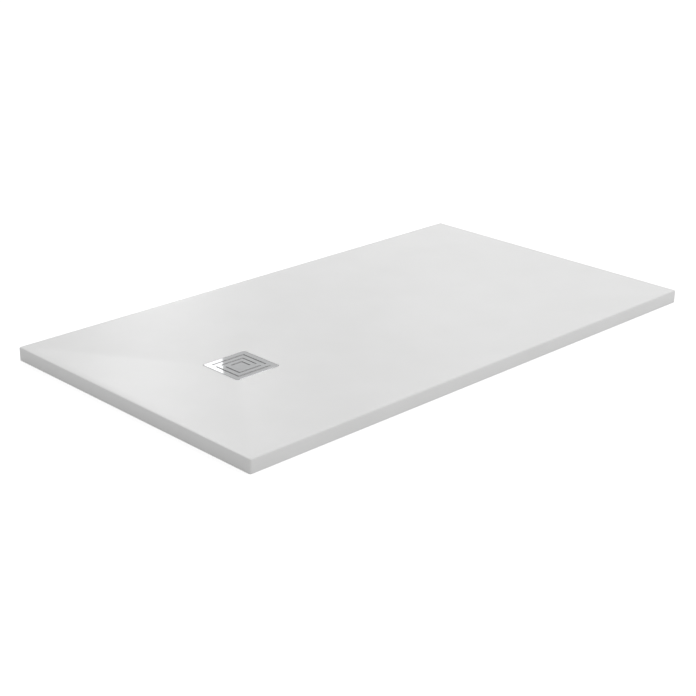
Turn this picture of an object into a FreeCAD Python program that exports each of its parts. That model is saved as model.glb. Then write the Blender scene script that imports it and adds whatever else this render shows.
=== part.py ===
import FreeCAD, Part

import math
import os

from FreeCAD import Vector

# A low shower tray with its grate and its trap. Millimetres, +Z up. The origin is the centre of the tray's
# underside, +X runs along the length and +Y across it. The drain lies on the centreline near the -X end,
# and the trap hangs below the underside with its outlet pointing to -X.

# ---- tray slab ----
TRAY_LENGTH = 1400.0
TRAY_WIDTH = 800.0
TRAY_HEIGHT = 32.0
CORNER_RADIUS = 5.0
TOP_EDGE_RADIUS = 3.0
BOTTOM_EDGE_BREAK = 0.5
BORDER_WIDTH = 15.0
FALL = 15.0
DRAIN_TO_END = 316.0
WASTE_HOLE_RADIUS = 45.0

# ---- grate ----
GRATE_SIZE = 120.0
GRATE_THICKNESS = 2.0
GRATE_CORNER_RADIUS = 6.0
GRATE_EDGE_BREAK = 0.3
POCKET_GAP = 1.5
GRATE_CLEAR_HEIGHT = 4.0
SLOT_WIDTH = 4.0
SLOT_PITCH = 15.0
SLOT_RINGS = 3
SLOT_LEG_GAP = 15.0
INNER_LEG_GAP = 3.0
GRATE_PIN_RADIUS = 1.5
GRATE_PIN_LENGTH = 2.8
GRATE_FOOT_RADIUS = 4.0
GRATE_FOOT_INSET = 8.0

# ---- flange and its seals ----
FLANGE_OVERLAP = 12.5
FLANGE_THICKNESS = 2.5
LEDGE_WIDTH = 2.4
LEDGE_TO_SCREWS = 1.0
SKIRT_WALL = 2.0
SKIRT_TO_COLLAR = 2.0
FLANGE_EDGE_BREAK = 0.5
UPPER_GASKET_THICKNESS = 1.5
LOWER_GASKET_THICKNESS = 2.0
GASKET_SEAT_DEPTH = 1.0
GASKET_SEAT_GAP = 3.0
GASKET_INSET = 1.0
FLANGE_GAP = 1.0

# ---- flange screws and inserts ----
SCREW_COUNT = 4
SCREW_RADIUS = 2.45
SCREW_TO_WASTE_HOLE = 0.55
SCREW_LENGTH = 30.0
SCREW_HEAD_RADIUS = 4.6
SCREW_HEAD_HEIGHT = 2.1
SCREW_SLOT_WIDTH = 1.0
SCREW_SLOT_LENGTH = 5.0
SCREW_SLOT_DEPTH = 1.2
SCREW_HOLE_RADIUS = 2.75
FIT_CLEARANCE = 0.05
INSERT_RADIUS = 3.5
INSERT_LENGTH = 12.0
BOSS_RADIUS = 5.0
BOSS_LENGTH = 22.0
SCREW_TIP_ROOM = 2.0

# ---- hair strainer ----
STRAINER_RIM_THICKNESS = 1.4
STRAINER_WALL = 1.5
STRAINER_DEPTH = 13.0
STRAINER_TO_THROAT = 3.5
STRAINER_WALL_SLOTS = 16
STRAINER_SLOT_WIDTH = 3.0
STRAINER_SLOT_MARGIN = 2.5
STRAINER_HOLE_RADIUS = 2.5
STRAINER_FIRST_CIRCLE = 10.5
STRAINER_CIRCLE_PITCH = 7.0
STRAINER_HOLE_CIRCLES = 3
STRAINER_FIRST_HOLES = 6
KNOB_RADIUS = 3.0
KNOB_HEAD_RADIUS = 4.5
KNOB_HEAD_HEIGHT = 3.0
KNOB_TO_GRATE = 2.5
SEAT_CLEARANCE = 0.3

# ---- trap body ----
TRAP_DEPTH = 120.0
TRAP_BORE_MARGIN = 1.0
TRAP_WALL = 3.0
TRAP_FOOT_RADIUS = 4.0
TRAP_RIM_MARGIN = 1.5
TRAP_RIM_THICKNESS = 4.0
SEAT_DROP = 7.0
SEAT_THICKNESS = 3.0
SEAT_WALL = 2.5
SEAT_LENGTH = 11.0

# ---- dip tube ----
DIP_TUBE_STEP = 5.0
DIP_TUBE_WALL = 2.0
DIP_TUBE_BOTTOM_ROOM = 12.0
DIP_COLLAR_CLEARANCE = 0.5
DIP_COLLAR_WIDTH = 2.5
DIP_COLLAR_THICKNESS = 2.0
DIP_HEAD_CLEARANCE = 0.6
DIP_HEAD_LENGTH = 11.0
DIP_MOUTH_STEP = 2.0
O_RING_SECTION_RADIUS = 1.25
O_RING_GROOVE_WIDTH = 3.0
O_RING_DROP = 5.5
GRIP_WIDTH = 6.0
GRIP_HEIGHT = 4.0

# ---- outlet: ball joint and pipe socket ----
OUTLET_DROP = 38.0
OUTLET_BORE_RADIUS = 17.0
OUTLET_WALL = 3.0
NECK_RADIUS = 21.0
BALL_DISTANCE = 82.0
BALL_RADIUS = 27.0
BALL_CLEARANCE = 0.3
CUP_WALL = 3.7
CUP_BACK = 26.0
BALL_SEAL_LENGTH = 4.0
BALL_WASHER_LENGTH = 2.0
BALL_NUT_FRONT = 8.0
NUT_OVERLAP = 14.0
NUT_WALL = 3.7
NUT_RIBS = 10
NUT_RIB_WIDTH = 4.0
NUT_RIB_HEIGHT = 1.5
NUT_CLEARANCE = 0.3
RING_CLEARANCE = 0.2
PIPE_RADIUS = 20.0
PIPE_CLEARANCE = 0.2
PIPE_SOCKET_RADIUS = 25.0
PIPE_SOCKET_START = 36.0
PIPE_SOCKET_DEPTH = 30.0
CONE_DEPTH = 3.0
CONE_SEAL_STEP = 0.2
CONE_SEAL_HEAD = 1.5
PIPE_WASHER_LENGTH = 1.5
PIPE_NUT_FRONT = 3.0

# ---- how near two heights are to count as one ----
SAME_HEIGHT = 1e-6

# ---- places worked out from the sizes above ----
DRAIN_X = DRAIN_TO_END - TRAY_LENGTH / 2
GRATE_TOP = TRAY_HEIGHT - FALL
GRATE_UNDERSIDE = GRATE_TOP - GRATE_THICKNESS
POCKET_FLOOR = GRATE_UNDERSIDE - GRATE_CLEAR_HEIGHT
FLANGE_TOP = POCKET_FLOOR
FLANGE_UNDERSIDE = FLANGE_TOP - FLANGE_THICKNESS
RECESS_FLOOR = FLANGE_UNDERSIDE - UPPER_GASKET_THICKNESS
POCKET_SIZE = GRATE_SIZE + 2 * POCKET_GAP
FOOT_OFFSET = GRATE_SIZE / 2 - GRATE_FOOT_INSET

FLANGE_RADIUS = WASTE_HOLE_RADIUS + FLANGE_OVERLAP
SCREW_CIRCLE_RADIUS = WASTE_HOLE_RADIUS - SCREW_TO_WASTE_HOLE - SCREW_RADIUS
LEDGE_RADIUS = SCREW_CIRCLE_RADIUS - SCREW_HEAD_RADIUS - LEDGE_TO_SCREWS
THROAT_RADIUS = LEDGE_RADIUS - LEDGE_WIDTH

TRAP_TOP = GASKET_SEAT_DEPTH - LOWER_GASKET_THICKNESS
TRAP_BOTTOM = -TRAP_DEPTH
TRAP_FLOOR = TRAP_BOTTOM + TRAP_WALL
TRAP_BORE_RADIUS = WASTE_HOLE_RADIUS + TRAP_BORE_MARGIN
TRAP_RADIUS = TRAP_BORE_RADIUS + TRAP_WALL
TRAP_RIM_RADIUS = FLANGE_RADIUS + TRAP_RIM_MARGIN
SEAT_TOP = -SEAT_DROP
COLLAR_TOP = SEAT_TOP + DIP_COLLAR_THICKNESS
DIP_COLLAR_RADIUS = THROAT_RADIUS - DIP_COLLAR_CLEARANCE
SEAT_RADIUS = DIP_COLLAR_RADIUS - DIP_COLLAR_WIDTH
DIP_TUBE_RADIUS = SEAT_RADIUS - DIP_TUBE_STEP
DIP_MOUTH_RADIUS = SEAT_RADIUS - DIP_MOUTH_STEP
DIP_TUBE_BOTTOM = TRAP_FLOOR + DIP_TUBE_BOTTOM_ROOM
DIP_HEAD_RADIUS = SEAT_RADIUS - DIP_HEAD_CLEARANCE
O_RING_HEIGHT = SEAT_TOP - O_RING_DROP
O_RING_RADIUS = SEAT_RADIUS - SEAT_CLEARANCE - O_RING_SECTION_RADIUS

STRAINER_RIM_RADIUS = LEDGE_RADIUS - SEAT_CLEARANCE
STRAINER_LEDGE = FLANGE_TOP - STRAINER_RIM_THICKNESS
STRAINER_RADIUS = THROAT_RADIUS - STRAINER_TO_THROAT
STRAINER_BOTTOM = FLANGE_TOP - STRAINER_DEPTH
KNOB_TOP = GRATE_UNDERSIDE - KNOB_TO_GRATE

OUTLET_Z = -OUTLET_DROP
BALL_SOCKET_RADIUS = BALL_RADIUS + BALL_CLEARANCE
CUP_RADIUS = BALL_SOCKET_RADIUS + CUP_WALL
BALL_WASHER_START = BALL_DISTANCE + BALL_SEAL_LENGTH
BALL_NUT_FACE = BALL_WASHER_START + BALL_WASHER_LENGTH
PIPE_BORE_RADIUS = PIPE_RADIUS + PIPE_CLEARANCE
SOCKET_START = BALL_DISTANCE + PIPE_SOCKET_START
SOCKET_MOUTH = SOCKET_START + PIPE_SOCKET_DEPTH
CONE_SEAL_END = SOCKET_MOUTH + CONE_SEAL_HEAD
PIPE_NUT_FACE = CONE_SEAL_END + PIPE_WASHER_LENGTH


def fused(shapes):
    """One solid from shapes that touch or overlap, with no leftover seams."""
    return shapes[0].multiFuse(shapes[1:]).removeSplitter()


def group(solids):
    """Separate solids kept together as one node."""
    return Part.makeCompound(solids)


def drum(radius, low, high):
    """An upright cylinder round the drain's centre."""
    return Part.makeCylinder(radius, high - low, Vector(DRAIN_X, 0, low))


def upright_rod(radius, x, y, low, high):
    """An upright cylinder at a place measured from the drain's centre."""
    return Part.makeCylinder(radius, high - low, Vector(DRAIN_X + x, y, low))


def upright_cone(radius_low, radius_high, x, y, low, high):
    """An upright cone at a place measured from the drain's centre."""
    return Part.makeCone(radius_low, radius_high, high - low, Vector(DRAIN_X + x, y, low))


def turned(points):
    """A solid turned round the drain's centre from (radius, height) points."""
    corners = [Vector(DRAIN_X + radius, 0, height) for radius, height in points]
    outline = Part.Face(Part.makePolygon(corners + corners[:1]))
    return outline.revolve(Vector(DRAIN_X, 0, 0), Vector(0, 0, 1), 360)


def pipe_rod(radius, start, end):
    """A cylinder along the outlet, between two distances from the drain's centre."""
    return Part.makeCylinder(radius, end - start, Vector(DRAIN_X - start, 0, OUTLET_Z), Vector(-1, 0, 0))


def pipe_turned(points):
    """A solid turned round the outlet's axis from (radius, distance from the drain) points."""
    corners = [Vector(DRAIN_X - distance, 0, OUTLET_Z + radius) for radius, distance in points]
    outline = Part.Face(Part.makePolygon(corners + corners[:1]))
    return outline.revolve(Vector(DRAIN_X, 0, OUTLET_Z), Vector(1, 0, 0), 360)


def ball(radius):
    """A ball at the centre of the outlet's joint."""
    return Part.makeSphere(radius, Vector(DRAIN_X - BALL_DISTANCE, 0, OUTLET_Z))


def rounded_block(centre_x, length, width, low, high, radius):
    """A block with rounded upright edges, centred across the tray."""
    corner = Vector(centre_x - length / 2, -width / 2, low)
    block = Part.makeBox(length, width, high - low, corner)
    upright = [edge for edge in block.Edges if abs(edge.tangentAt(edge.FirstParameter).z) > 0.5]
    return block.makeFillet(radius, upright)


def edges_at(shape, height):
    """The edges of a shape that lie wholly at one height."""
    flat = []
    for edge in shape.Edges:
        box = edge.BoundBox
        if max(abs(box.ZMin - height), abs(box.ZMax - height)) < SAME_HEIGHT:
            flat.append(edge)
    return flat


def rectangle(centre_x, length, width, height):
    """The corners of a level rectangle, anticlockwise."""
    return [
        Vector(centre_x - length / 2, -width / 2, height),
        Vector(centre_x + length / 2, -width / 2, height),
        Vector(centre_x + length / 2, width / 2, height),
        Vector(centre_x - length / 2, width / 2, height),
    ]


def frustum(lower, upper):
    """A solid between two level rectangles, with flat faces."""
    faces = [Part.Face(Part.makePolygon(ring + ring[:1])) for ring in (lower, upper)]
    for here in range(4):
        there = (here + 1) % 4
        side = [lower[here], lower[there], upper[there], upper[here]]
        faces.append(Part.Face(Part.makePolygon(side + side[:1])))
    return Part.makeSolid(Part.makeShell(faces))


def even_angles(count):
    """Angles evenly round a circle, starting half a step in, in radians."""
    return [2 * math.pi * (step + 0.5) / count for step in range(count)]


def screw_places():
    """Where the flange screws stand, from the drain's centre."""
    places = []
    for angle in even_angles(SCREW_COUNT):
        places.append((SCREW_CIRCLE_RADIUS * math.cos(angle), SCREW_CIRCLE_RADIUS * math.sin(angle)))
    return places


def foot_places():
    """Where the grate's feet stand, from the drain's centre."""
    return [(side_x * FOOT_OFFSET, side_y * FOOT_OFFSET) for side_x in (-1, 1) for side_y in (-1, 1)]


def tray_slab():
    """The cast slab: four falls to the pocket, the flange's recess, the waste hole and the gasket's seat."""
    slab = rounded_block(0, TRAY_LENGTH, TRAY_WIDTH, 0, TRAY_HEIGHT, CORNER_RADIUS)
    slab = slab.makeFillet(TOP_EDGE_RADIUS, edges_at(slab, TRAY_HEIGHT))
    slab = slab.makeChamfer(BOTTOM_EDGE_BREAK, edges_at(slab, 0))
    basin_length = TRAY_LENGTH - 2 * BORDER_WIDTH
    basin_width = TRAY_WIDTH - 2 * BORDER_WIDTH
    basin_foot = rectangle(DRAIN_X, POCKET_SIZE, POCKET_SIZE, GRATE_TOP)
    basin_rim = rectangle(0, basin_length, basin_width, TRAY_HEIGHT)
    slab = slab.cut(frustum(basin_foot, basin_rim))
    pocket_radius = GRATE_CORNER_RADIUS + POCKET_GAP
    pocket = rounded_block(DRAIN_X, POCKET_SIZE, POCKET_SIZE, POCKET_FLOOR, TRAY_HEIGHT, pocket_radius)
    recess = drum(FLANGE_RADIUS + FLANGE_GAP, RECESS_FLOOR, TRAY_HEIGHT)
    hole = drum(WASTE_HOLE_RADIUS, 0, TRAY_HEIGHT)
    gasket_seat = drum(TRAP_RIM_RADIUS + GASKET_SEAT_GAP, 0, GASKET_SEAT_DEPTH)
    return slab.cut(fused([pocket, recess, hole, gasket_seat]))


def slot_run(start, end):
    """A slot with round ends between two places in the grate, measured from the drain's centre."""
    radius = SLOT_WIDTH / 2
    heading = math.degrees(math.atan2(end[1] - start[1], end[0] - start[0]))
    bar = Part.makeBox(math.dist(start, end), SLOT_WIDTH, TRAY_HEIGHT, Vector(0, -radius, 0))
    bar.rotate(Vector(0, 0, 0), Vector(0, 0, 1), heading)
    bar.translate(Vector(DRAIN_X + start[0], start[1], 0))
    return bar.multiFuse([upright_rod(radius, x, y, 0, TRAY_HEIGHT) for x, y in (start, end)])


def grate_plate():
    """The square plate with its L-shaped slots: two round each outer ring, one round the middle."""
    plate = rounded_block(DRAIN_X, GRATE_SIZE, GRATE_SIZE, GRATE_UNDERSIDE, GRATE_TOP, GRATE_CORNER_RADIUS)
    plate = plate.makeChamfer(GRATE_EDGE_BREAK, edges_at(plate, GRATE_TOP))
    slots = []
    for ring in range(1, SLOT_RINGS + 1):
        half = SLOT_PITCH * ring
        leg_end = half - (SLOT_LEG_GAP if ring > 1 else INNER_LEG_GAP)
        slots.append(slot_run((-half, half), (half, half)))
        slots.append(slot_run((half, half), (half, -leg_end)))
        if ring > 1:
            slots.append(slot_run((-half, -half), (half, -half)))
            slots.append(slot_run((-half, -half), (-half, leg_end)))
    return plate.cut(slots[0].multiFuse(slots[1:]))


def grate_pins():
    """Pins under the plate's corners."""
    low = GRATE_UNDERSIDE - GRATE_PIN_LENGTH
    return group([upright_rod(GRATE_PIN_RADIUS, x, y, low, GRATE_UNDERSIDE) for x, y in foot_places()])


def grate_feet():
    """Rubber feet pushed over the pins, standing on the pocket's floor."""
    feet = []
    for x, y in foot_places():
        foot = upright_rod(GRATE_FOOT_RADIUS, x, y, POCKET_FLOOR, GRATE_UNDERSIDE)
        low = GRATE_UNDERSIDE - GRATE_PIN_LENGTH - FIT_CLEARANCE
        radius = GRATE_PIN_RADIUS + FIT_CLEARANCE
        feet.append(foot.cut(upright_rod(radius, x, y, low, GRATE_UNDERSIDE)))
    return group(feet)


def waste_flange():
    """The clamping flange: strainer ledge, throat skirt and countersunk screw holes."""
    skirt_foot = COLLAR_TOP + SKIRT_TO_COLLAR
    skirt_radius = THROAT_RADIUS + SKIRT_WALL
    flange = turned([
        (THROAT_RADIUS, skirt_foot),
        (skirt_radius, skirt_foot),
        (skirt_radius, FLANGE_UNDERSIDE),
        (FLANGE_RADIUS, FLANGE_UNDERSIDE),
        (FLANGE_RADIUS, FLANGE_TOP - FLANGE_EDGE_BREAK),
        (FLANGE_RADIUS - FLANGE_EDGE_BREAK, FLANGE_TOP),
        (LEDGE_RADIUS, FLANGE_TOP),
        (LEDGE_RADIUS, STRAINER_LEDGE),
        (THROAT_RADIUS, STRAINER_LEDGE),
    ])
    cone_foot = FLANGE_TOP - SCREW_HEAD_HEIGHT
    for x, y in screw_places():
        flange = flange.cut(upright_rod(SCREW_HOLE_RADIUS, x, y, FLANGE_UNDERSIDE, FLANGE_TOP))
        head_radius = SCREW_HEAD_RADIUS + FIT_CLEARANCE
        flange = flange.cut(upright_cone(SCREW_HOLE_RADIUS, head_radius, x, y, cone_foot, FLANGE_TOP))
    return flange


def flange_screws():
    """Countersunk screws with a cross slot, flush with the flange's top."""
    screws = []
    cone_foot = FLANGE_TOP - SCREW_HEAD_HEIGHT
    slot_floor = FLANGE_TOP - SCREW_SLOT_DEPTH
    for x, y in screw_places():
        shank = upright_rod(SCREW_RADIUS, x, y, FLANGE_TOP - SCREW_LENGTH, cone_foot)
        head = upright_cone(SCREW_RADIUS, SCREW_HEAD_RADIUS, x, y, cone_foot, FLANGE_TOP)
        screw = fused([shank, head])
        for length, width in ((SCREW_SLOT_LENGTH, SCREW_SLOT_WIDTH), (SCREW_SLOT_WIDTH, SCREW_SLOT_LENGTH)):
            corner = Vector(DRAIN_X + x - length / 2, y - width / 2, slot_floor)
            screw = screw.cut(Part.makeBox(length, width, SCREW_SLOT_DEPTH, corner))
        screws.append(screw)
    return group(screws)


def screw_inserts():
    """Threaded inserts in the trap's bosses, their threads plain."""
    inserts = []
    for x, y in screw_places():
        outer = upright_rod(INSERT_RADIUS, x, y, TRAP_TOP - INSERT_LENGTH, TRAP_TOP)
        radius = SCREW_RADIUS + FIT_CLEARANCE
        inserts.append(outer.cut(upright_rod(radius, x, y, TRAP_TOP - INSERT_LENGTH, TRAP_TOP)))
    return group(inserts)


def upper_gasket():
    """The seal between the flange and the tray."""
    outer = drum(FLANGE_RADIUS, RECESS_FLOOR, FLANGE_UNDERSIDE)
    return outer.cut(drum(WASTE_HOLE_RADIUS + GASKET_INSET, RECESS_FLOOR, FLANGE_UNDERSIDE))


def lower_gasket():
    """The seal between its seat in the tray's underside and the trap's rim."""
    outer = drum(TRAP_RIM_RADIUS, TRAP_TOP, GASKET_SEAT_DEPTH)
    return outer.cut(drum(TRAP_BORE_RADIUS + GASKET_INSET, TRAP_TOP, GASKET_SEAT_DEPTH))


def trap_body():
    """The moulded trap: rim, cup, seat for the dip tube, screw bosses, neck and ball cup."""
    shell = turned([
        (0, TRAP_BOTTOM),
        (TRAP_RADIUS, TRAP_BOTTOM),
        (TRAP_RADIUS, TRAP_TOP - TRAP_RIM_THICKNESS),
        (TRAP_RIM_RADIUS, TRAP_TOP - TRAP_RIM_THICKNESS),
        (TRAP_RIM_RADIUS, TRAP_TOP),
        (0, TRAP_TOP),
    ])
    shell = shell.makeFillet(TRAP_FOOT_RADIUS, edges_at(shell, TRAP_BOTTOM))
    cup_end = BALL_DISTANCE
    neck = pipe_rod(NECK_RADIUS, TRAP_BORE_RADIUS, cup_end - CUP_BACK)
    cup = pipe_rod(CUP_RADIUS, cup_end - CUP_BACK, cup_end)
    body = fused([shell, neck, cup])
    body = body.cut(drum(TRAP_BORE_RADIUS, TRAP_FLOOR, TRAP_TOP))
    seat = drum(TRAP_BORE_RADIUS, SEAT_TOP - SEAT_THICKNESS, SEAT_TOP)
    seat_wall = drum(SEAT_RADIUS + SEAT_WALL, SEAT_TOP - SEAT_LENGTH, SEAT_TOP)
    inside = drum(TRAP_BORE_RADIUS + TRAP_WALL / 2, TRAP_FLOOR, TRAP_TOP)
    bosses = []
    for x, y in screw_places():
        bosses.append(upright_rod(BOSS_RADIUS, x, y, TRAP_TOP - BOSS_LENGTH, TRAP_TOP).common(inside))
    body = fused([body, seat, seat_wall] + bosses)
    body = body.cut(drum(SEAT_RADIUS, SEAT_TOP - SEAT_LENGTH, SEAT_TOP))
    tip = FLANGE_TOP - SCREW_LENGTH - SCREW_TIP_ROOM
    for x, y in screw_places():
        body = body.cut(upright_rod(INSERT_RADIUS, x, y, TRAP_TOP - INSERT_LENGTH, TRAP_TOP))
        body = body.cut(upright_rod(SCREW_RADIUS + FIT_CLEARANCE, x, y, tip, TRAP_TOP - INSERT_LENGTH))
    body = body.cut(pipe_rod(OUTLET_BORE_RADIUS, DIP_TUBE_RADIUS, cup_end))
    return body.cut(ball(BALL_SOCKET_RADIUS))


def dip_tube():
    """The removable tube: collar on the seat, head with the ring groove, long tube and grip."""
    bore = DIP_TUBE_RADIUS - DIP_TUBE_WALL
    head_foot = SEAT_TOP - DIP_HEAD_LENGTH
    groove_radius = O_RING_RADIUS - O_RING_SECTION_RADIUS
    groove_top = O_RING_HEIGHT + O_RING_GROOVE_WIDTH / 2
    groove_foot = O_RING_HEIGHT - O_RING_GROOVE_WIDTH / 2
    tube = turned([
        (bore, DIP_TUBE_BOTTOM),
        (DIP_TUBE_RADIUS, DIP_TUBE_BOTTOM),
        (DIP_TUBE_RADIUS, head_foot),
        (DIP_HEAD_RADIUS, head_foot),
        (DIP_HEAD_RADIUS, groove_foot),
        (groove_radius, groove_foot),
        (groove_radius, groove_top),
        (DIP_HEAD_RADIUS, groove_top),
        (DIP_HEAD_RADIUS, SEAT_TOP),
        (DIP_COLLAR_RADIUS, SEAT_TOP),
        (DIP_COLLAR_RADIUS, COLLAR_TOP),
        (DIP_MOUTH_RADIUS, COLLAR_TOP),
        (bore, head_foot),
    ])
    reach = DIP_TUBE_RADIUS - DIP_TUBE_WALL / 2
    corner = Vector(DRAIN_X - GRIP_WIDTH / 2, -reach, head_foot - GRIP_HEIGHT)
    grip = Part.makeBox(GRIP_WIDTH, 2 * reach, GRIP_HEIGHT, corner)
    return fused([tube, grip])


def dip_tube_o_ring():
    """The ring that seals the dip tube in its seat."""
    return Part.makeTorus(O_RING_RADIUS, O_RING_SECTION_RADIUS, Vector(DRAIN_X, 0, O_RING_HEIGHT))


def hair_strainer():
    """The basket: rim on the flange's ledge, slotted wall, pierced floor and lifting knob."""
    inner = STRAINER_RADIUS - STRAINER_WALL
    floor_top = STRAINER_BOTTOM + STRAINER_WALL
    basket = turned([
        (0, STRAINER_BOTTOM),
        (STRAINER_RADIUS, STRAINER_BOTTOM),
        (STRAINER_RADIUS, STRAINER_LEDGE),
        (STRAINER_RIM_RADIUS, STRAINER_LEDGE),
        (STRAINER_RIM_RADIUS, FLANGE_TOP),
        (inner, FLANGE_TOP),
        (inner, floor_top),
        (0, floor_top),
    ])
    knob = drum(KNOB_RADIUS, STRAINER_BOTTOM, KNOB_TOP)
    knob_head = drum(KNOB_HEAD_RADIUS, KNOB_TOP - KNOB_HEAD_HEIGHT, KNOB_TOP)
    basket = fused([basket, knob, knob_head])
    slot_low = floor_top + STRAINER_SLOT_MARGIN
    slot_height = STRAINER_LEDGE - STRAINER_SLOT_MARGIN - slot_low
    cuts = []
    for angle in even_angles(STRAINER_WALL_SLOTS):
        corner = Vector(inner - STRAINER_WALL, -STRAINER_SLOT_WIDTH / 2, slot_low)
        slot = Part.makeBox(3 * STRAINER_WALL, STRAINER_SLOT_WIDTH, slot_height, corner)
        slot.rotate(Vector(0, 0, 0), Vector(0, 0, 1), math.degrees(angle))
        slot.translate(Vector(DRAIN_X, 0, 0))
        cuts.append(slot)
    for circle in range(STRAINER_HOLE_CIRCLES):
        circle_radius = STRAINER_FIRST_CIRCLE + STRAINER_CIRCLE_PITCH * circle
        for angle in even_angles(STRAINER_FIRST_HOLES * (circle + 1)):
            x = circle_radius * math.cos(angle)
            y = circle_radius * math.sin(angle)
            cuts.append(upright_rod(STRAINER_HOLE_RADIUS, x, y, STRAINER_BOTTOM, floor_top))
    return basket.cut(Part.makeCompound(cuts))


def outlet_tube():
    """The ball-ended tube with its socket for the waste pipe."""
    tube_radius = OUTLET_BORE_RADIUS + OUTLET_WALL
    tube = pipe_rod(tube_radius, BALL_DISTANCE, SOCKET_START)
    socket = pipe_rod(PIPE_SOCKET_RADIUS, SOCKET_START - OUTLET_WALL, SOCKET_MOUTH)
    body = fused([ball(BALL_RADIUS), tube, socket])
    body = body.cut(pipe_rod(OUTLET_BORE_RADIUS, BALL_DISTANCE - BALL_RADIUS, SOCKET_START))
    body = body.cut(pipe_rod(PIPE_BORE_RADIUS, SOCKET_START, SOCKET_MOUTH))
    cone_start = SOCKET_MOUTH - CONE_DEPTH
    cone = pipe_turned([
        (0, cone_start),
        (PIPE_BORE_RADIUS, cone_start),
        (PIPE_BORE_RADIUS + CONE_DEPTH, SOCKET_MOUTH),
        (0, SOCKET_MOUTH),
    ])
    return body.cut(cone)


def pipe_cone_seal():
    """The tapered seal in the socket's mouth, round the pipe."""
    inner = PIPE_BORE_RADIUS + CONE_SEAL_STEP
    cone_start = SOCKET_MOUTH - CONE_DEPTH
    return pipe_turned([
        (inner, cone_start + CONE_SEAL_STEP),
        (PIPE_BORE_RADIUS + CONE_DEPTH, SOCKET_MOUTH),
        (PIPE_BORE_RADIUS + CONE_DEPTH, CONE_SEAL_END),
        (inner, CONE_SEAL_END),
    ])


def pipe_slip_washer():
    """The slip washer between the cone seal and the pipe nut."""
    outer = pipe_rod(PIPE_BORE_RADIUS + CONE_DEPTH, CONE_SEAL_END, PIPE_NUT_FACE)
    return outer.cut(pipe_rod(PIPE_BORE_RADIUS + CONE_SEAL_STEP, CONE_SEAL_END, PIPE_NUT_FACE))


def ribbed_nut(thread_radius, start, face, end):
    """A hand nut: a thread sleeve from start to face, a front wall from face to end, and grip ribs."""
    radius = thread_radius + NUT_WALL
    nut = pipe_rod(radius, start, end)
    ribs = []
    for angle in even_angles(NUT_RIBS):
        corner = Vector(DRAIN_X - end, -NUT_RIB_WIDTH / 2, OUTLET_Z)
        rib = Part.makeBox(end - start, NUT_RIB_WIDTH, radius + NUT_RIB_HEIGHT, corner)
        rib.rotate(Vector(DRAIN_X, 0, OUTLET_Z), Vector(1, 0, 0), math.degrees(angle))
        ribs.append(rib)
    nut = fused([nut] + ribs)
    return nut.cut(pipe_rod(thread_radius + NUT_CLEARANCE, start, face))


def ball_seal():
    """The rubber ring between the ball cup and the slip washer, hollowed to the ball."""
    ring = pipe_rod(CUP_RADIUS - RING_CLEARANCE, BALL_DISTANCE, BALL_WASHER_START)
    return ring.cut(ball(BALL_SOCKET_RADIUS))


def ball_slip_washer():
    """The slip washer between the ball seal and the ball nut."""
    ring = pipe_rod(CUP_RADIUS - RING_CLEARANCE, BALL_WASHER_START, BALL_NUT_FACE)
    return ring.cut(ball(BALL_SOCKET_RADIUS))


def ball_nut():
    """The nut that holds the ball in its cup."""
    end = BALL_NUT_FACE + BALL_NUT_FRONT
    nut = ribbed_nut(CUP_RADIUS, BALL_DISTANCE - NUT_OVERLAP, BALL_NUT_FACE, end)
    return nut.cut(ball(BALL_SOCKET_RADIUS))


def pipe_nut():
    """The nut that squeezes the cone seal on the pipe."""
    end = PIPE_NUT_FACE + PIPE_NUT_FRONT
    nut = ribbed_nut(PIPE_SOCKET_RADIUS, SOCKET_MOUTH - NUT_OVERLAP, PIPE_NUT_FACE, end)
    return nut.cut(pipe_rod(PIPE_BORE_RADIUS + 2 * CONE_SEAL_STEP, PIPE_NUT_FACE, end))


NODES = (
    tray_slab,
    grate_plate,
    grate_pins,
    grate_feet,
    waste_flange,
    flange_screws,
    screw_inserts,
    upper_gasket,
    lower_gasket,
    trap_body,
    dip_tube,
    dip_tube_o_ring,
    hair_strainer,
    outlet_tube,
    ball_seal,
    ball_slip_washer,
    ball_nut,
    pipe_cone_seal,
    pipe_slip_washer,
    pipe_nut,
)

os.makedirs("parts", exist_ok=True)
for make in NODES:
    shape = make()
    shape.exportStep("parts/" + make.__name__ + ".step")
    solids = len(shape.Solids)
    box = shape.BoundBox
    print(make.__name__, solids, shape.isValid(), round(shape.Volume, 1),
          [round(v, 2) for v in (box.XMin, box.XMax, box.YMin, box.YMax, box.ZMin, box.ZMax)])
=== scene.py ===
import math

import bmesh
import bpy
from mathutils import Matrix, Vector


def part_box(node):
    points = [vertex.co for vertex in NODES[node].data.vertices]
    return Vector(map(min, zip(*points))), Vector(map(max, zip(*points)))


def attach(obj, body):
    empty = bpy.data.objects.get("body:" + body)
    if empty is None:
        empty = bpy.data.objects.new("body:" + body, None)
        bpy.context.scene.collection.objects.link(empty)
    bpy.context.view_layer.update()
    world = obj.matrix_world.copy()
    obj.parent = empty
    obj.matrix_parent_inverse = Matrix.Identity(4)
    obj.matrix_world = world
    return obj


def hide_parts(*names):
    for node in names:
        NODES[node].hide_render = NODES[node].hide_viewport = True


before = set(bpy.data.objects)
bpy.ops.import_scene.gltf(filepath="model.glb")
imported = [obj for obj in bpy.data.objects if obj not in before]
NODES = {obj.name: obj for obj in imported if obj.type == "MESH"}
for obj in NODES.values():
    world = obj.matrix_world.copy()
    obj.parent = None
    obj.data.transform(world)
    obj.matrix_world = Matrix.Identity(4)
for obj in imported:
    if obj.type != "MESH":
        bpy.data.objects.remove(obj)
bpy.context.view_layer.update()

# ---- what the solids say about the tray, in metres ----
SLAB_LOW, SLAB_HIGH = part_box("tray_slab")
PLATE_LOW, PLATE_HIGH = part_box("grate_plate")
FLANGE_LOW, FLANGE_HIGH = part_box("waste_flange")
SEAL_LOW, SEAL_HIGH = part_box("lower_gasket")
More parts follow.
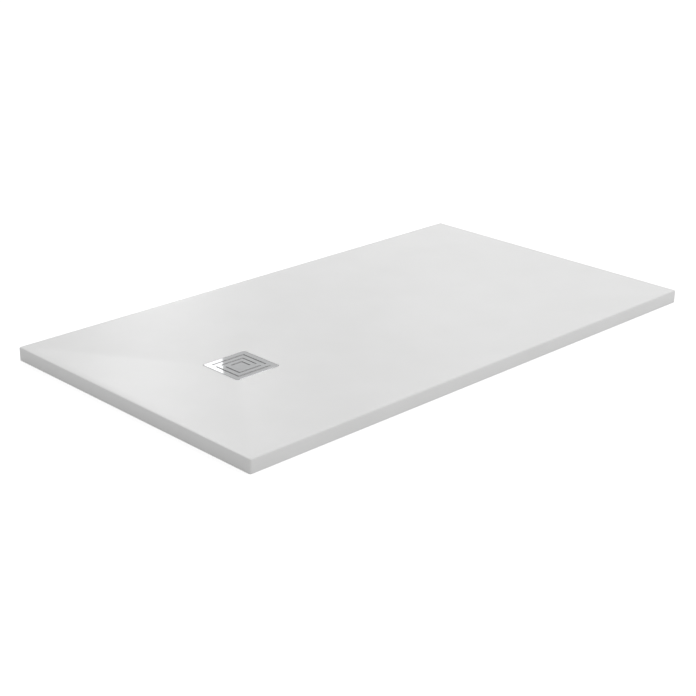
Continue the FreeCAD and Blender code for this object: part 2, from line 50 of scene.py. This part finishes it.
DRAIN = Vector(((PLATE_LOW.x + PLATE_HIGH.x) / 2, (PLATE_LOW.y + PLATE_HIGH.y) / 2, 0))
RIM_Z = SLAB_HIGH.z
GRATE_Z = PLATE_HIGH.z
POCKET_FLOOR_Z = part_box("grate_feet")[0].z
RECESS_FLOOR_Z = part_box("upper_gasket")[0].z
SEAT_Z = SEAL_HIGH.z

# ---- the slab's hollows, round the pieces that lie in them ----
POCKET_GAP = 0.0015
RECESS_GAP = 0.001
SEAT_GAP = 0.003
POCKET_HALF = (PLATE_HIGH.x - PLATE_LOW.x) / 2 + POCKET_GAP
POCKET_RADIUS = 0.0075
RECESS_RADIUS = (FLANGE_HIGH.x - FLANGE_LOW.x) / 2 + RECESS_GAP
HOLE_RADIUS = 0.045
SEAT_RADIUS = (SEAL_HIGH.x - SEAL_LOW.x) / 2 + SEAT_GAP

# ---- the slab's edges and falls ----
CORNER_RADIUS = 0.005
LEAST_CORNER_RADIUS = 0.001
TOP_EDGE_RADIUS = 0.003
BOTTOM_EDGE_BREAK = 0.0005
BORDER_WIDTH = 0.015
BORDER_INSETS = (0.006, 0.010, 0.013, 0.0140, 0.0146, 0.0150, 0.0154, 0.0160, 0.0170)
VALLEY_SOFTNESS = 0.0008
BORDER_SOFTNESS = 0.0002
LIP_RADIUS = 0.0008

# ---- how finely the slab's skin is divided ----
LONG_STEPS = 96
SHORT_STEPS = 64
CORNER_STEPS = 8
SIDE_STEPS = 4
EDGE_STEPS = 8
FALL_STEPS = 60
SHARP_ANGLE = math.radians(35)

# ---- colours: each surface wanders between the two of its pair ----
COAT = ((0.800, 0.800, 0.796), (0.820, 0.820, 0.818))
FILLER = ((0.42, 0.41, 0.39), (0.55, 0.54, 0.52))
POLISH = ((0.395, 0.40, 0.405), (0.425, 0.43, 0.435))
CUT_WALL = ((0.60, 0.60, 0.60), (0.74, 0.74, 0.74))
BRASS = ((0.62, 0.44, 0.18), (0.78, 0.60, 0.30))
BLACK = ((0.022, 0.022, 0.023), (0.055, 0.055, 0.056))
TRAP_WHITE = ((0.74, 0.74, 0.72), (0.80, 0.80, 0.785))
INSERT_GREY = ((0.33, 0.34, 0.35), (0.42, 0.43, 0.44))
PLAIN_STEEL_TONE = 0.50
FLANGE_STEEL_TONE = 0.56
GRAIN_DARKER = 0.9
GRAIN_LIGHTER = 1.08

# ---- which faces a material tells apart, by the upright part of their normal ----
FACING_DOWN = -0.9
FACING_FLAT = 0.7

# ---- sockets of the mix nodes that share their names ----
VALUE_FIRST, VALUE_SECOND, VALUE_RESULT = 2, 3, 0
COLOUR_FIRST, COLOUR_SECOND, COLOUR_RESULT = 6, 7, 2
SHADER_FIRST, SHADER_SECOND = 1, 2

# ---- the photograph's view ----
CAMERA_PLACE = Vector((-2.3371, -2.3537, 1.2704))
CAMERA_AZIMUTH = math.radians(-44.121)
CAMERA_ELEVATION = math.radians(21.670)
CAMERA_ROLL = math.radians(0.197)
CAMERA_LENS = 77.05
CAMERA_SENSOR = 36
CAMERA_REACH = 50

# ---- the studio ----
WORLD_LIGHT = 0.58
FLOOR_REACH = 12
FLOOR_CORNER_RADIUS = 1
FLOOR_INSET = 0.0015
FLOOR_TONE = 0.8
FLOOR_GLOW = 0.56

# Each lamp's name, place, aim, width, height and watts. The strip is what the plate's corner mirrors and
# what brightens the fall beside the grate, and the other three even out the top and the sides.
LAMPS = (
    ("strip", (1.926, 3.327, 1.5), (DRAIN.x, DRAIN.y, GRATE_Z), 0.50, 1.2, 3.0),
    ("front", (3.5, -5, 5), (0.3, 0, 0), 4, 3, 134),
    ("back", (1.0, 1.6, 2.4), (0.3, 0.3, 0), 1.5, 1, 12),
    ("back_right", (4.2, 2.4, 2.4), (0.3, 0.2, 0), 2.5, 1.2, 6.5),
)


# ---------------------------------------------------------------- material helpers

def new_material(name):
    """A material with nothing but a principled shader, joined to its output."""
    material = bpy.data.materials.new(name)
    material.use_nodes = True
    tree = material.node_tree
    tree.nodes.clear()
    output = tree.nodes.new("ShaderNodeOutputMaterial")
    shader = tree.nodes.new("ShaderNodeBsdfPrincipled")
    tree.links.new(shader.outputs["BSDF"], output.inputs["Surface"])
    return material, tree, shader


def link(tree, source, target):
    """Joins two sockets."""
    tree.links.new(source, target)


def place(tree, scale=(1, 1, 1)):
    """The object's own coordinates in metres, stretched."""
    coordinates = tree.nodes.new("ShaderNodeTexCoord")
    mapping = tree.nodes.new("ShaderNodeMapping")
    mapping.inputs["Scale"].default_value = scale
    link(tree, coordinates.outputs["Object"], mapping.inputs["Vector"])
    return mapping.outputs["Vector"]


def noise(tree, vector, scale, detail, roughness=0.5):
    """A noise value at so many cycles a metre."""
    node = tree.nodes.new("ShaderNodeTexNoise")
    node.inputs["Scale"].default_value = scale
    node.inputs["Detail"].default_value = detail
    node.inputs["Roughness"].default_value = roughness
    link(tree, vector, node.inputs["Vector"])
    return node.outputs["Fac"]


def spread(tree, value, low, high, start=0.3, end=0.7):
    """A value mapped from start..end to low..high. Noise mostly keeps to the default start..end."""
    node = tree.nodes.new("ShaderNodeMapRange")
    node.inputs["From Min"].default_value = start
    node.inputs["From Max"].default_value = end
    node.inputs["To Min"].default_value = low
    node.inputs["To Max"].default_value = high
    link(tree, value, node.inputs["Value"])
    return node.outputs["Result"]


def blend_pair(tree, factor, pair):
    """A colour between the two of a pair, by a value."""
    node = tree.nodes.new("ShaderNodeMix")
    node.data_type = "RGBA"
    node.inputs[COLOUR_FIRST].default_value = (*pair[0], 1)
    node.inputs[COLOUR_SECOND].default_value = (*pair[1], 1)
    link(tree, factor, node.inputs["Factor"])
    return node.outputs[COLOUR_RESULT]


def choose_colour(tree, factor, first, second):
    """The first colour where a value is 0 and the second where it is 1."""
    node = tree.nodes.new("ShaderNodeMix")
    node.data_type = "RGBA"
    link(tree, factor, node.inputs["Factor"])
    link(tree, first, node.inputs[COLOUR_FIRST])
    link(tree, second, node.inputs[COLOUR_SECOND])
    return node.outputs[COLOUR_RESULT]


def choose_value(tree, factor, first, second):
    """The first value where the factor is 0 and the second where it is 1."""
    node = tree.nodes.new("ShaderNodeMix")
    link(tree, factor, node.inputs["Factor"])
    link(tree, first, node.inputs[VALUE_FIRST])
    link(tree, second, node.inputs[VALUE_SECOND])
    return node.outputs[VALUE_RESULT]


def arithmetic(tree, operation, first, second):
    """A sum, product or the like of two values, either of which may be a number."""
    node = tree.nodes.new("ShaderNodeMath")
    node.operation = operation
    for socket, value in zip(node.inputs, (first, second)):
        if isinstance(value, (int, float)):
            socket.default_value = value
        else:
            link(tree, value, socket)
    return node.outputs["Value"]


def upright_part(tree, normal):
    """The upright part of a normal."""
    split = tree.nodes.new("ShaderNodeSeparateXYZ")
    link(tree, normal, split.inputs["Vector"])
    return split.outputs["Z"]


def bump(tree, shader, height, distance):
    """Raises the surface by a height value."""
    node = tree.nodes.new("ShaderNodeBump")
    node.inputs["Distance"].default_value = distance
    node.inputs["Strength"].default_value = 1
    link(tree, height, node.inputs["Height"])
    link(tree, node.outputs["Normal"], shader.inputs["Normal"])


# ---------------------------------------------------------------- materials

def resin_white():
    """Sprayed semi-matt white over cast stone: faint mottling, fine stipple, bare filler underneath."""
    material, tree, shader = new_material("white_resin")
    where = place(tree)
    mottle = spread(tree, noise(tree, where, scale=9, detail=4), low=0, high=1)
    coat = blend_pair(tree, mottle, COAT)
    grit = spread(tree, noise(tree, where, scale=300, detail=5), low=0, high=1)
    filler = blend_pair(tree, grit, FILLER)
    geometry = tree.nodes.new("ShaderNodeNewGeometry")
    below = arithmetic(tree, "LESS_THAN", upright_part(tree, geometry.outputs["Normal"]), FACING_DOWN)
    link(tree, choose_colour(tree, below, coat, filler), shader.inputs["Base Color"])
    smears = spread(tree, noise(tree, where, scale=14, detail=5, roughness=0.6), low=0.302, high=0.318)
    link(tree, smears, shader.inputs["Roughness"])
    shader.inputs["IOR"].default_value = 1.5
    bump(tree, shader, noise(tree, where, scale=900, detail=2), distance=0.00006)
    return material


def polished_steel():
    """Mirror-polished plate with faint wipe marks, and the dull walls that the cutter leaves in its slots."""
    material, tree, shader = new_material("polished_steel")
    where = place(tree)
    coordinates = tree.nodes.new("ShaderNodeTexCoord")
    facing = arithmetic(tree, "ABSOLUTE", upright_part(tree, coordinates.outputs["Normal"]), 0)
    flat = arithmetic(tree, "GREATER_THAN", facing, FACING_FLAT)
    clouds = spread(tree, noise(tree, where, scale=40, detail=4), low=0, high=1)
    polished = blend_pair(tree, clouds, POLISH)
    streaks = spread(tree, noise(tree, place(tree, (1, 1, 0.05)), scale=900, detail=3), low=0, high=1)
    cut = blend_pair(tree, streaks, CUT_WALL)
    link(tree, choose_colour(tree, flat, cut, polished), shader.inputs["Base Color"])
    metal = spread(tree, flat, low=0.15, high=1, start=0, end=1)
    link(tree, metal, shader.inputs["Metallic"])
    rubbed = noise(tree, place(tree, (1, 12, 1)), scale=60, detail=5, roughness=0.65)
    wipes = spread(tree, rubbed, low=0.02, high=0.045)
    torn = spread(tree, streaks, low=0.42, high=0.55, start=0, end=1)
    link(tree, choose_value(tree, flat, torn, wipes), shader.inputs["Roughness"])
    bump(tree, shader, noise(tree, where, scale=25, detail=2), distance=0.000004)
    return material


def satin_steel(name, tone):
    """Turned or drawn stainless steel."""
    material, tree, shader = new_material(name)
    where = place(tree)
    grain = noise(tree, place(tree, (1, 1, 14)), scale=350, detail=4, roughness=0.6)
    shades = ((tone * GRAIN_DARKER,) * 3, (tone * GRAIN_LIGHTER,) * 3)
    colour = blend_pair(tree, spread(tree, grain, low=0, high=1), shades)
    link(tree, colour, shader.inputs["Base Color"])
    shader.inputs["Metallic"].default_value = 1
    rubbed = spread(tree, noise(tree, where, scale=120, detail=4), low=0.26, high=0.38)
    link(tree, rubbed, shader.inputs["Roughness"])
    bump(tree, shader, grain, distance=0.00002)
    return material


def insert_brass():
    """Turned brass, slightly dulled."""
    material, tree, shader = new_material("insert_brass")
    where = place(tree)
    dull = spread(tree, noise(tree, where, scale=250, detail=4), low=0, high=1)
    link(tree, blend_pair(tree, dull, BRASS), shader.inputs["Base Color"])
    shader.inputs["Metallic"].default_value = 1
    rubbed = spread(tree, noise(tree, where, scale=400, detail=3), low=0.25, high=0.42)
    link(tree, rubbed, shader.inputs["Roughness"])
    return material


def black_rubber():
    """Moulded rubber with a dusty bloom."""
    material, tree, shader = new_material("black_rubber")
    where = place(tree)
    bloom = spread(tree, noise(tree, where, scale=180, detail=5), low=0, high=1)
    link(tree, blend_pair(tree, bloom, BLACK), shader.inputs["Base Color"])
    dust = spread(tree, noise(tree, where, scale=90, detail=3), low=0.6, high=0.8)
    link(tree, dust, shader.inputs["Roughness"])
    bump(tree, shader, noise(tree, where, scale=1500, detail=2), distance=0.00004)
    return material


def moulded_plastic(name, pair):
    """Moulded polypropylene: slight flow marks and a fine spark-eroded texture."""
    material, tree, shader = new_material(name)
    where = place(tree)
    flow = spread(tree, noise(tree, place(tree, (1, 1, 3)), scale=22, detail=4), low=0, high=1)
    link(tree, blend_pair(tree, flow, pair), shader.inputs["Base Color"])
    worn = spread(tree, noise(tree, where, scale=60, detail=4), low=0.38, high=0.52)
    link(tree, worn, shader.inputs["Roughness"])
    bump(tree, shader, noise(tree, where, scale=1800, detail=2), distance=0.00005)
    return material


def dress(node, material):
    """Puts one material on a solid and leaves its mesh as it is."""
    mesh = NODES[node].data
    mesh.materials.clear()
    mesh.materials.append(material)


# ---------------------------------------------------------------- the slab

def smooth_higher(first, second, softness):
    """The higher of two values, with the valley between them rounded."""
    mix = max(softness - abs(first - second), 0) / softness
    return max(first, second) + mix * mix * softness / 4


def smooth_lower(first, second, softness):
    """The lower of two values, with the ridge between them rounded."""
    return -smooth_higher(-first, -second, softness)


def basin_height(x, y):
    """Height of the tray's top: four falls to the pocket, with soft valleys, inside a level border."""
    fall = RIM_Z - GRATE_Z
    runs = (
        (SLAB_HIGH.x - BORDER_WIDTH - DRAIN.x - POCKET_HALF, x - DRAIN.x - POCKET_HALF),
        (DRAIN.x - SLAB_LOW.x - BORDER_WIDTH - POCKET_HALF, DRAIN.x - x - POCKET_HALF),
        (SLAB_HIGH.y - BORDER_WIDTH - POCKET_HALF, y - POCKET_HALF),
        (-SLAB_LOW.y - BORDER_WIDTH - POCKET_HALF, -y - POCKET_HALF),
    )
    heights = [GRATE_Z + fall * out / run for run, out in runs]
    across = smooth_higher(heights[2], heights[3], VALLEY_SOFTNESS)
    along = smooth_higher(heights[0], heights[1], VALLEY_SOFTNESS)
    return smooth_lower(smooth_higher(along, across, VALLEY_SOFTNESS), RIM_Z, BORDER_SOFTNESS)


def rounded_outline(low, high, radius):
    """Points anticlockwise round a rectangle with round corners, the same count for every rectangle."""
    points = []
    sides = (
        (Vector((low.x, low.y)), Vector((1, 0)), high.x - low.x, LONG_STEPS),
        (Vector((high.x, low.y)), Vector((0, 1)), high.y - low.y, SHORT_STEPS),
        (Vector((high.x, high.y)), Vector((-1, 0)), high.x - low.x, LONG_STEPS),
        (Vector((low.x, high.y)), Vector((0, -1)), high.y - low.y, SHORT_STEPS),
    )
    for corner, along, length, steps in sides:
        inward = Vector((-along.y, along.x))
        centre = corner + (along + inward) * radius
        for step in range(CORNER_STEPS):
            turn = math.pi / 2 * step / CORNER_STEPS
            points.append(centre - (along * math.cos(turn) + inward * math.sin(turn)) * radius)
        for step in range(steps):
            points.append(corner + along * (radius + (length - 2 * radius) * step / steps))
    return points


def outer_outline(inset):
    """The slab's plan, drawn in by a distance."""
    inward = Vector((inset, inset))
    radius = max(CORNER_RADIUS - inset, LEAST_CORNER_RADIUS)
    return rounded_outline(SLAB_LOW.xy + inward, SLAB_HIGH.xy - inward, radius)


def pocket_outline(grow):
    """The grate pocket's plan, grown by a distance."""
    reach = Vector((POCKET_HALF + grow, POCKET_HALF + grow))
    return rounded_outline(DRAIN.xy - reach, DRAIN.xy + reach, POCKET_RADIUS + grow)


def circle_outline(radius):
    """Points round the drain, each in line with the pocket's own point."""
    return [DRAIN.xy + (point - DRAIN.xy).normalized() * radius for point in pocket_outline(0)]


def level(outline, height):
    """A ring at one height."""
    return [Vector((point.x, point.y, height)) for point in outline]


def draped(outline):
    """A ring laid on the tray's top."""
    return [Vector((point.x, point.y, basin_height(point.x, point.y))) for point in outline]


def tray_rings():
    """The slab's skin, ring by ring: sides, border, falls, pocket, recess, hole, gasket seat, underside."""
    side_foot = SLAB_LOW.z + BOTTOM_EDGE_BREAK
    side_top = RIM_Z - TOP_EDGE_RADIUS
    rings = [level(outer_outline(BOTTOM_EDGE_BREAK), SLAB_LOW.z)]
    for step in range(SIDE_STEPS + 1):
        rings.append(level(outer_outline(0), side_foot + (side_top - side_foot) * step / SIDE_STEPS))
    for step in range(1, EDGE_STEPS + 1):
        turn = math.pi / 2 * step / EDGE_STEPS
        inset = TOP_EDGE_RADIUS * (1 - math.cos(turn))
        rings.append(level(outer_outline(inset), side_top + TOP_EDGE_RADIUS * math.sin(turn)))
    for inset in BORDER_INSETS:
        rings.append(draped(outer_outline(inset)))
    start = outer_outline(BORDER_INSETS[-1])
    lip = pocket_outline(LIP_RADIUS)
    for step in range(1, FALL_STEPS + 1):
        share = step / FALL_STEPS
        rings.append(draped([a.lerp(b, share) for a, b in zip(start, lip)]))
    for step in range(1, EDGE_STEPS + 1):
        turn = math.pi / 2 * step / EDGE_STEPS
        grow = LIP_RADIUS * (1 - math.sin(turn))
        rings.append(level(pocket_outline(grow), GRATE_Z - LIP_RADIUS * (1 - math.cos(turn))))
    rings.append(level(pocket_outline(0), POCKET_FLOOR_Z))
    rings.append(level(circle_outline(RECESS_RADIUS), POCKET_FLOOR_Z))
    rings.append(level(circle_outline(RECESS_RADIUS), RECESS_FLOOR_Z))
    rings.append(level(circle_outline(HOLE_RADIUS), RECESS_FLOOR_Z))
    rings.append(level(circle_outline(HOLE_RADIUS), SEAT_Z))
    rings.append(level(circle_outline(SEAT_RADIUS), SEAT_Z))
    rings.append(level(circle_outline(SEAT_RADIUS), SLAB_LOW.z))
    return rings


def closed_skin(name, rings):
    """A closed mesh from rings of equal count, each joined to the next and the last to the first."""
    mesh = bpy.data.meshes.new(name)
    work = bmesh.new()
    made = [[work.verts.new(point) for point in ring] for ring in rings]
    for first, second in zip(made, made[1:] + made[:1]):
        count = len(first)
        for here in range(count):
            there = (here + 1) % count
            work.faces.new((first[here], first[there], second[there], second[here]))
    bmesh.ops.recalc_face_normals(work, faces=work.faces)
    for face in work.faces:
        face.smooth = True
    work.to_mesh(mesh)
    work.free()
    mesh.set_sharp_from_angle(angle=SHARP_ANGLE)
    piece = bpy.data.objects.new(name, mesh)
    bpy.context.scene.collection.objects.link(piece)
    return piece


tray = closed_skin("tray_skin", tray_rings())
tray.data.materials.append(resin_white())
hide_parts("tray_slab")
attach(tray, "tray")

# ---------------------------------------------------------------- the other pieces' finishes

RUBBER = black_rubber()
WHITE_PLASTIC = moulded_plastic("trap_white", TRAP_WHITE)
GREY_PLASTIC = moulded_plastic("insert_grey", INSERT_GREY)
PLAIN_STEEL = satin_steel("plain_steel", PLAIN_STEEL_TONE)

dress("grate_plate", polished_steel())
dress("waste_flange", satin_steel("flange_steel", FLANGE_STEEL_TONE))
dress("screw_inserts", insert_brass())
for node in ("grate_pins", "flange_screws"):
    dress(node, PLAIN_STEEL)
for node in ("grate_feet", "upper_gasket", "lower_gasket", "dip_tube_o_ring", "ball_seal", "pipe_cone_seal"):
    dress(node, RUBBER)
for node in ("dip_tube", "hair_strainer", "ball_slip_washer", "pipe_slip_washer"):
    dress(node, GREY_PLASTIC)
for node in ("trap_body", "outlet_tube", "ball_nut", "pipe_nut"):
    dress(node, WHITE_PLASTIC)


# ---------------------------------------------------------------- stage, light and camera

def seen_rays(tree):
    """1 for a ray from the camera, a mirror or glass, and 0 for light on its way between dull surfaces."""
    path = tree.nodes.new("ShaderNodeLightPath")
    first = arithmetic(tree, "MAXIMUM", path.outputs["Is Camera Ray"], path.outputs["Is Glossy Ray"])
    return arithmetic(tree, "MAXIMUM", first, path.outputs["Is Transmission Ray"])


def white_world():
    """Even light all round, seen as white."""
    world = bpy.data.worlds.new("studio")
    bpy.context.scene.world = world
    world.use_nodes = True
    tree = world.node_tree
    background = tree.nodes["Background"]
    background.inputs["Color"].default_value = (1, 1, 1, 1)
    strength = spread(tree, seen_rays(tree), low=WORLD_LIGHT, high=1, start=0, end=1)
    link(tree, strength, background.inputs["Strength"])


def floor_material():
    """Pale and dull, glowing to nearly white for the camera alone, and clear from below."""
    material, tree, shader = new_material("pale_floor")
    shader.inputs["Base Color"].default_value = (FLOOR_TONE, FLOOR_TONE, FLOOR_TONE, 1)
    shader.inputs["Roughness"].default_value = 1
    shader.inputs["Specular IOR Level"].default_value = 0
    shader.inputs["Emission Color"].default_value = (1, 1, 1, 1)
    path = tree.nodes.new("ShaderNodeLightPath")
    glow = arithmetic(tree, "MULTIPLY", path.outputs["Is Camera Ray"], FLOOR_GLOW)
    link(tree, glow, shader.inputs["Emission Strength"])
    geometry = tree.nodes.new("ShaderNodeNewGeometry")
    clear = tree.nodes.new("ShaderNodeBsdfTransparent")
    side = tree.nodes.new("ShaderNodeMixShader")
    link(tree, geometry.outputs["Backfacing"], side.inputs["Fac"])
    link(tree, shader.outputs["BSDF"], side.inputs[SHADER_FIRST])
    link(tree, clear.outputs["BSDF"], side.inputs[SHADER_SECOND])
    link(tree, side.outputs["Shader"], tree.nodes["Material Output"].inputs["Surface"])
    return material


def pale_floor():
    """A floor at the height of the tray's underside, open under the tray, where the trap hangs."""
    mesh = bpy.data.meshes.new("floor")
    work = bmesh.new()
    reach = Vector((FLOOR_REACH, FLOOR_REACH))
    inner_outline = outer_outline(FLOOR_INSET)
    far_outline = rounded_outline(-reach, reach, FLOOR_CORNER_RADIUS)
    inner = [work.verts.new((*point, SLAB_LOW.z)) for point in inner_outline]
    outer = [work.verts.new((*point, SLAB_LOW.z)) for point in far_outline]
    count = len(inner)
    for here in range(count):
        there = (here + 1) % count
        work.faces.new((outer[here], outer[there], inner[there], inner[here]))
    work.to_mesh(mesh)
    work.free()
    floor = bpy.data.objects.new("floor", mesh)
    bpy.context.scene.collection.objects.link(floor)
    mesh.materials.append(floor_material())


def soft_light(name, where, towards, width, height, power):
    """A rectangular soft light that the camera doesn't see."""
    lamp = bpy.data.lights.new(name, "AREA")
    lamp.shape = "RECTANGLE"
    lamp.size = width
    lamp.size_y = height
    lamp.energy = power
    holder = bpy.data.objects.new(name, lamp)
    bpy.context.scene.collection.objects.link(holder)
    holder.location = where
    holder.rotation_euler = (Vector(towards) - Vector(where)).to_track_quat("-Z", "Y").to_euler()
    holder.visible_camera = False


def photo_camera():
    """The photograph's view."""
    camera = bpy.data.objects.new("camera", bpy.data.cameras.new("camera"))
    bpy.context.scene.collection.objects.link(camera)
    turn = Matrix.Rotation(CAMERA_AZIMUTH, 3, "Z") @ Matrix.Rotation(math.pi / 2 - CAMERA_ELEVATION, 3, "X")
    camera.location = CAMERA_PLACE
    camera.rotation_euler = (turn @ Matrix.Rotation(CAMERA_ROLL, 3, "Z")).to_euler()
    camera.data.sensor_width = CAMERA_SENSOR
    camera.data.lens = CAMERA_LENS
    camera.data.clip_end = CAMERA_REACH
    bpy.context.scene.camera = camera


white_world()
pale_floor()
for lamp in LAMPS:
    soft_light(*lamp)
photo_camera()
bpy.context.scene.view_settings.view_transform = "Standard"
